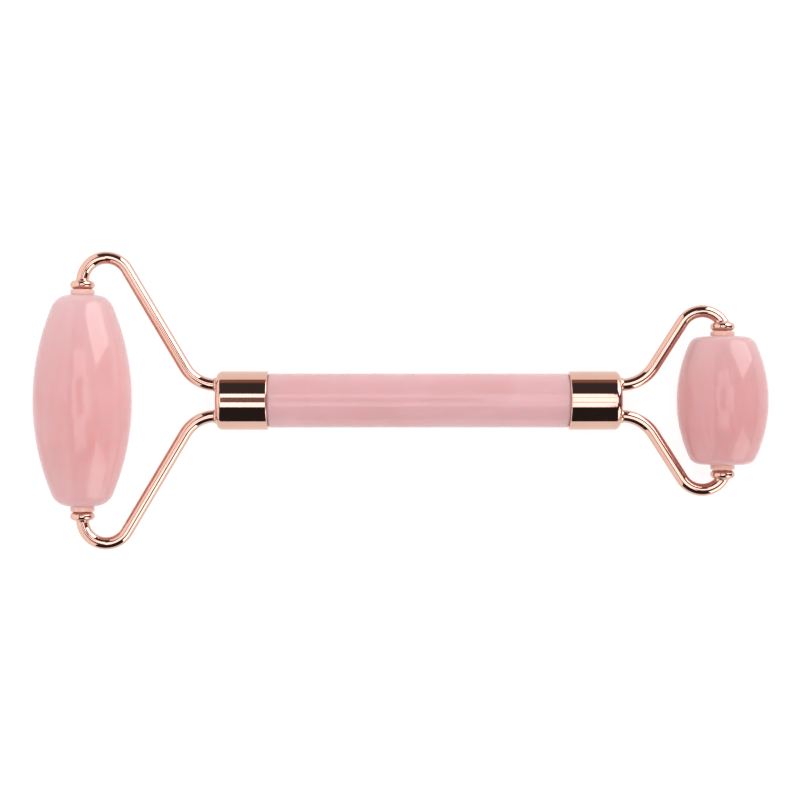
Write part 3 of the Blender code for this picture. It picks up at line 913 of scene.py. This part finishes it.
def mix_stone(name, grain, cast, half=0.0):
    """The stone's finish: veils along a grain, colours under a cast, and a roller's ends painted paler as painted
    light.
    """
    deep, body, pale, veil_and_light_colour = [[level * share for level, share in zip(colour, cast)]
                              for colour in (STONE_DEEP, STONE_BODY, STONE_PALE, STONE_VEIL_AND_PAINTED_LIGHT)]
    material, tree, shader = new_finish(name)
    place = add_node(tree, "ShaderNodeTexCoord")
    drawn = add_node(tree, "ShaderNodeMapping")
    drawn.inputs["Scale"].default_value = grain
    tree.links.new(place.outputs["Object"], drawn.inputs["Vector"])
    clouds = ramp_between(tree, list(zip(CLOUD_STOPS, (deep, body, pale))))
    drift = noise(tree, place.outputs["Object"], CLOUD_SCALE, CLOUD_DETAIL, CLOUD_WARP)
    tree.links.new(drift, clouds.inputs["Fac"])
    wisps = ramp_between(tree, list(zip(VEIL_STOPS, (grey(0.0), grey(VEIL_STRENGTH), grey(0.0)))))
    streaks = noise(tree, drawn.outputs["Vector"], VEIL_SCALE, VEIL_DETAIL, VEIL_WARP)
    tree.links.new(streaks, wisps.inputs["Fac"])
    veils_and_painted_light = [wisps.outputs["Color"]]
    # Painted light: a roller's ends are painted paler, most at the back end.
    if half:
        veils_and_painted_light.append(painted_light_ends(tree, place.outputs["Object"], half))
    colour = clouds.outputs["Color"]
    for share in veils_and_painted_light:
        veil_and_light_mix = add_node(tree, "ShaderNodeMix", data_type="RGBA")
        tree.links.new(share, veil_and_light_mix.inputs["Factor"])
        tree.links.new(colour, veil_and_light_mix.inputs["A"])
        veil_and_light_mix.inputs["B"].default_value = (*veil_and_light_colour, 1.0)
        colour = veil_and_light_mix.outputs["Result"]
    tree.links.new(colour, shader.inputs["Base Color"])
    smears = noise(tree, drawn.outputs["Vector"], VEIL_SCALE, PLAIN_DETAIL)
    vary(tree, smears, *STONE_ROUGHNESS, shader, "Roughness")
    emboss(tree, noise(tree, place.outputs["Object"], PIT_SCALE, PLAIN_DETAIL), PIT_HEIGHT, shader)
    shader.inputs["Subsurface Weight"].default_value = STONE_MILK
    shader.inputs["Subsurface Radius"].default_value = STONE_SPREAD
    shader.inputs["Subsurface Scale"].default_value = STONE_DEPTH
    shader.inputs["IOR"].default_value = STONE_IOR
    shader.inputs["Specular IOR Level"].default_value = STONE_GLOSS
    print(name, "grain:", grain)
    return material


large_finish = mix_stone("large_stone", (1.0, GRAIN_ALONG, 1.0), LARGE_CAST, LARGE_END.length / 2)
small_finish = mix_stone("small_stone", (1.0, GRAIN_ALONG, 1.0), SMALL_CAST, SMALL_END.length / 2)
handle_finish = mix_stone("handle_stone", (GRAIN_ALONG, 1.0, 1.0), HANDLE_CAST)

# %% [markdown]
# ## Metal finish
# Cups, wires and pins are plated in rose gold and polished like a mirror. A perfect mirror looks false,
# so the roughness drifts a little, and a very shallow ripple breaks the edges of the bright bands, as
# plating does.

# %% Plate the metal
GOLD_WARM = (0.69, 0.425, 0.335)
GOLD_PALE = (0.715, 0.45, 0.36)
GOLD_TINT_SCALE = 160.0
GOLD_TINT_STOPS = (0.35, 0.65)
GOLD_ROUGHNESS = (0.03, 0.06)
GOLD_SMEAR_SCALE = 420.0
GOLD_SMEAR_DETAIL = 3.0
RIPPLE_SCALE = 900.0
RIPPLE_HEIGHT = 0.0000015

metal_finish, tree, shader = new_finish("rose_gold_plate")
place = add_node(tree, "ShaderNodeTexCoord").outputs["Object"]
tint = ramp_between(tree, list(zip(GOLD_TINT_STOPS, (GOLD_WARM, GOLD_PALE))))
tree.links.new(noise(tree, place, GOLD_TINT_SCALE, PLAIN_DETAIL), tint.inputs["Fac"])
tree.links.new(tint.outputs["Color"], shader.inputs["Base Color"])
shader.inputs["Metallic"].default_value = 1.0
vary(tree, noise(tree, place, GOLD_SMEAR_SCALE, GOLD_SMEAR_DETAIL), *GOLD_ROUGHNESS, shader, "Roughness")
emboss(tree, noise(tree, place, RIPPLE_SCALE, PLAIN_DETAIL), RIPPLE_HEIGHT, shader)
print("metal roughness:", GOLD_ROUGHNESS)

# %% [markdown]
# ## Nylon and adhesive
# Natural nylon is milky and a little yellow. Here its pink and peach are painted light: painted in for the
# stone's light that shows through the thin flange. The adhesive plugs sit inside the cups and can't be
# seen, but they are pieces all the same, so their solids get a finish too.

# %% Cast the nylon and the adhesive
# Painted light: the nylon's pink and peach are painted in for the stone's light that shows through it.
NYLON_PAINTED_GLOW_COLOURS = ((0.97, 0.53, 0.44), (1.0, 0.59, 0.50))
NYLON_ROUGHNESS = (0.26, 0.36)
NYLON_MILK = 0.4
NYLON_DEPTH = 0.0012
ADHESIVE_COLOURS = ((0.76, 0.70, 0.58), (0.84, 0.79, 0.68))
ADHESIVE_ROUGHNESS = (0.40, 0.50)
ADHESIVE_MILK = 0.2
ADHESIVE_DEPTH = 0.001
CAST_SCALE = 600.0
CAST_STOPS = (0.3, 0.7)
CAST_RELIEF = 0.000006


def cast_plastic(name, colours, roughness, milk, depth):
    """A cloudy moulded plastic with a faint skin texture, into which light goes to a depth."""
    material, tree, shader = new_finish(name)
    place = add_node(tree, "ShaderNodeTexCoord").outputs["Object"]
    cloud = noise(tree, place, CAST_SCALE, PLAIN_DETAIL)
    tint = ramp_between(tree, list(zip(CAST_STOPS, colours)))
    tree.links.new(cloud, tint.inputs["Fac"])
    tree.links.new(tint.outputs["Color"], shader.inputs["Base Color"])
    vary(tree, cloud, *roughness, shader, "Roughness")
    emboss(tree, cloud, CAST_RELIEF, shader)
    shader.inputs["Subsurface Weight"].default_value = milk
    shader.inputs["Subsurface Radius"].default_value = STONE_SPREAD
    shader.inputs["Subsurface Scale"].default_value = depth
    print(name, "roughness:", roughness)
    return material


nylon_finish = cast_plastic("natural_nylon", NYLON_PAINTED_GLOW_COLOURS, NYLON_ROUGHNESS, NYLON_MILK, NYLON_DEPTH)
adhesive_finish = cast_plastic("cast_adhesive", ADHESIVE_COLOURS, ADHESIVE_ROUGHNESS, ADHESIVE_MILK,
                               ADHESIVE_DEPTH)

# %% [markdown]
# ## Dress the frame
# Each new piece gets its finish, stands for the solid of the same name, and rides on the body that the
# solid rides on. The stones and bushes turn with their rollers, and all the rest belongs to the frame.

# %% Give each piece its finish and its body
FINISHES = {"ferrule": ("rose_gold", metal_finish), "arm": ("rose_gold", metal_finish),
            "axle_pin": ("rose_gold", metal_finish), "bush": ("clear_nylon", nylon_finish),
            "large_roller_stone": ("pink_stone", large_finish),
            "small_roller_stone": ("pink_stone", small_finish),
            "handle_rod": ("pink_stone", handle_finish)}
body_of = {node: body for body, nodes in frame["record"]["behaviour"]["bodies"].items() for node in nodes}

for node, piece in sorted(pieces.items()):
    slot, finish = next(FINISHES[kind] for kind in FINISHES if node.endswith(kind))
    piece.name = f"{node}_look"
    piece.data.materials.clear()
    piece.data.materials.append(finish)
    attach(piece, body_of[node])
    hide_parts(node)

for end in ENDS:
    plug = frame["nodes"][f"{end.name}_adhesive"]
    plug.data.materials.clear()
    plug.data.materials.append(adhesive_finish)
print("dressed:", len(pieces), "pieces, triangles:",
      sum(len(face.vertices) - 2 for piece in pieces.values() for face in piece.data.polygons))

# %% [markdown]
# ## Check the size
# The looks must not change the tool's size, so the box of the dressed tool is compared with the solid
# one's, and the widest difference is printed.

# %% Compare both boxes and finish
look_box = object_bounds()
widest_gap = max(abs(a - b) for pair in zip(cad_box, look_box) for a, b in zip(*pair))
print("boxes differ by at most", widest_gap, "m")
